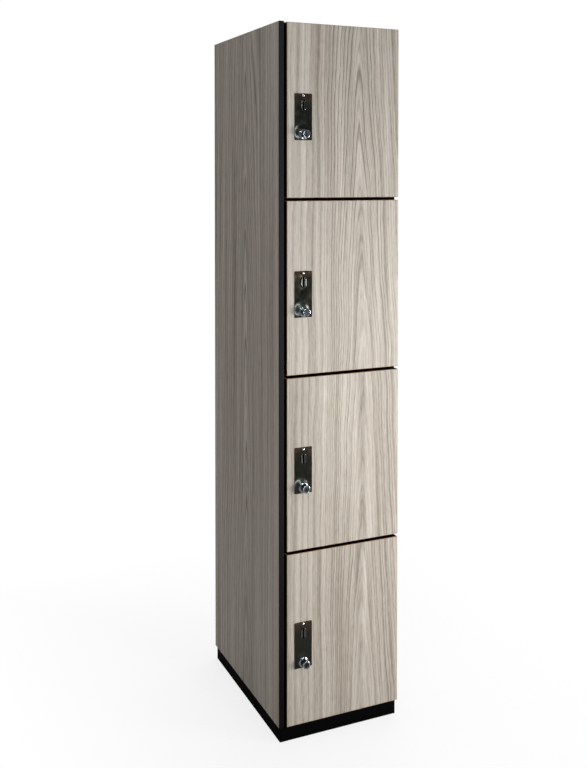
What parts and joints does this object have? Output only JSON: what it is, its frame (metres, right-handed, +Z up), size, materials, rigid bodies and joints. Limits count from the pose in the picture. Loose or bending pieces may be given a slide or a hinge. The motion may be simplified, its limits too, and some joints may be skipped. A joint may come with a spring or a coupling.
{
  "type": "coin operated locker",
  "caption": "Tall single-column wood-grain laminate locker with stacked hinged doors, each with a coin lock, a finished end panel and a low black plinth.",
  "frame": {"origin": "on the floor under the middle of the bounding box", "axes": "+Z up, +X to the right when facing the doors, +Y from the doors towards the back"},
  "size_m": [0.321, 0.4786, 1.709],
  "materials": {
    "door_laminate": "wood-grain laminate, satin, vertical grain",
    "end_laminate": "wood-grain laminate, satin, vertical grain",
    "inside_laminate": "wood-grain laminate, satin",
    "black_edge": "black edge banding, satin",
    "plinth_black": "black laminate",
    "raw_wood": "unfinished softwood",
    "hinge_nickel": "nickel plated",
    "strike_steel": "zinc plated",
    "bumper_rubber": "soft black rubber",
    "screw_zinc": "zinc plated",
    "lock_plate_polished": "polished dark stainless steel",
    "lock_chrome": "bright chrome",
    "plug_steel": "satin nickel, dark keyway",
    "case_steel": "zinc plated, pressed",
    "lever_brass": "brass",
    "bolt_steel": "zinc plated"
  },
  "bodies": {
    "carcass": {"end_panel": "end_laminate", "end_panel_edge_band": "black_edge", "left_side": "inside_laminate", "right_side": "inside_laminate", "top_panel": "inside_laminate", "bottom_panel": "inside_laminate", "back_panel": "inside_laminate", "front_edge_bands": "black_edge", "plinth_front": "plinth_black", "plinth_rear": "plinth_black", "plinth_ends": "plinth_black", "plinth_corner_blocks": "raw_wood", "hinge_arms": "hinge_nickel", "hinge_plates": "hinge_nickel", "strikes": "strike_steel", "door_bumpers": "bumper_rubber", "carcass_screws": "screw_zinc", "shelf_1": "inside_laminate", "shelf_2": "inside_laminate", "shelf_3": "inside_laminate"},
    "door_1": {"door_1": "door_laminate", "hinge_cups_1": "hinge_nickel", "door_fasteners_1": "screw_zinc", "lock_plate_1": "lock_plate_polished", "coin_slot_1": "lock_chrome", "lock_cylinder_1": "lock_chrome", "lock_case_1": "case_steel"},
    "plug_1": {"lock_plug_1": "plug_steel"},
    "bolt_1": {"lock_bolt_1": "bolt_steel"},
    "lever_1": {"coin_lever_1": "lever_brass"},
    "door_2": {"door_2": "door_laminate", "hinge_cups_2": "hinge_nickel", "door_fasteners_2": "screw_zinc", "lock_plate_2": "lock_plate_polished", "coin_slot_2": "lock_chrome", "lock_cylinder_2": "lock_chrome", "lock_case_2": "case_steel"},
    "plug_2": {"lock_plug_2": "plug_steel"},
    "bolt_2": {"lock_bolt_2": "bolt_steel"},
    "lever_2": {"coin_lever_2": "lever_brass"},
    "door_3": {"door_3": "door_laminate", "hinge_cups_3": "hinge_nickel", "door_fasteners_3": "screw_zinc", "lock_plate_3": "lock_plate_polished", "coin_slot_3": "lock_chrome", "lock_cylinder_3": "lock_chrome", "lock_case_3": "case_steel"},
    "plug_3": {"lock_plug_3": "plug_steel"},
    "bolt_3": {"lock_bolt_3": "bolt_steel"},
    "lever_3": {"coin_lever_3": "lever_brass"},
    "door_4": {"door_4": "door_laminate", "hinge_cups_4": "hinge_nickel", "door_fasteners_4": "screw_zinc", "lock_plate_4": "lock_plate_polished", "coin_slot_4": "lock_chrome", "lock_cylinder_4": "lock_chrome", "lock_case_4": "case_steel"},
    "plug_4": {"lock_plug_4": "plug_steel"},
    "bolt_4": {"lock_bolt_4": "bolt_steel"},
    "lever_4": {"coin_lever_4": "lever_brass"}
  },
  "joints": [
    {"name": "door_1_hinge", "type": "hinge", "parent": "carcass", "child": "door_1", "pos_m": [0.1525, -0.20725, 1.50063], "axis": [0, 0, 1], "range_deg": [0, 95]},
    {"name": "plug_1_turn", "type": "hinge", "parent": "door_1", "child": "plug_1", "pos_m": [-0.1, -0.21775, 1.44463], "axis": [0, 1, 0], "range_deg": [0, 90]},
    {"name": "bolt_1_slide", "type": "slide", "parent": "door_1", "child": "bolt_1", "axis": [-1, 0, 0], "range_m": [0, 0.012]},
    {"name": "lever_1_pivot", "type": "hinge", "parent": "door_1", "child": "lever_1", "pos_m": [-0.086, -0.18575, 1.49162], "axis": [0, -1, 0], "range_deg": [0, 35], "stiffness_Nm_per_rad": 0.01, "springref_deg": -22.92},
    {"name": "door_2_hinge", "type": "hinge", "parent": "carcass", "child": "door_2", "pos_m": [0.1525, -0.20725, 1.08088], "axis": [0, 0, 1], "range_deg": [0, 95]},
    {"name": "plug_2_turn", "type": "hinge", "parent": "door_2", "child": "plug_2", "pos_m": [-0.1, -0.21775, 1.02487], "axis": [0, 1, 0], "range_deg": [0, 90]},
    {"name": "bolt_2_slide", "type": "slide", "parent": "door_2", "child": "bolt_2", "axis": [-1, 0, 0], "range_m": [0, 0.012]},
    {"name": "lever_2_pivot", "type": "hinge", "parent": "door_2", "child": "lever_2", "pos_m": [-0.086, -0.18575, 1.07187], "axis": [0, -1, 0], "range_deg": [0, 35], "stiffness_Nm_per_rad": 0.01, "springref_deg": -22.92},
    {"name": "door_3_hinge", "type": "hinge", "parent": "carcass", "child": "door_3", "pos_m": [0.1525, -0.20725, 0.66112], "axis": [0, 0, 1], "range_deg": [0, 95]},
    {"name": "plug_3_turn", "type": "hinge", "parent": "door_3", "child": "plug_3", "pos_m": [-0.1, -0.21775, 0.60513], "axis": [0, 1, 0], "range_deg": [0, 90]},
    {"name": "bolt_3_slide", "type": "slide", "parent": "door_3", "child": "bolt_3", "axis": [-1, 0, 0], "range_m": [0, 0.012]},
    {"name": "lever_3_pivot", "type": "hinge", "parent": "door_3", "child": "lever_3", "pos_m": [-0.086, -0.18575, 0.65212], "axis": [0, -1, 0], "range_deg": [0, 35], "stiffness_Nm_per_rad": 0.01, "springref_deg": -22.92},
    {"name": "door_4_hinge", "type": "hinge", "parent": "carcass", "child": "door_4", "pos_m": [0.1525, -0.20725, 0.24138], "axis": [0, 0, 1], "range_deg": [0, 95]},
    {"name": "plug_4_turn", "type": "hinge", "parent": "door_4", "child": "plug_4", "pos_m": [-0.1, -0.21775, 0.18538], "axis": [0, 1, 0], "range_deg": [0, 90]},
    {"name": "bolt_4_slide", "type": "slide", "parent": "door_4", "child": "bolt_4", "axis": [-1, 0, 0], "range_m": [0, 0.012]},
    {"name": "lever_4_pivot", "type": "hinge", "parent": "door_4", "child": "lever_4", "pos_m": [-0.086, -0.18575, 0.23237], "axis": [0, -1, 0], "range_deg": [0, 35], "stiffness_Nm_per_rad": 0.01, "springref_deg": -22.92}
  ],
  "couplings": [
    {"joint": "bolt_1_slide", "follows": "plug_1_turn", "m_per_rad": 0.0076394},
    {"joint": "bolt_2_slide", "follows": "plug_2_turn", "m_per_rad": 0.0076394},
    {"joint": "bolt_3_slide", "follows": "plug_3_turn", "m_per_rad": 0.0076394},
    {"joint": "bolt_4_slide", "follows": "plug_4_turn", "m_per_rad": 0.0076394}
  ]
}
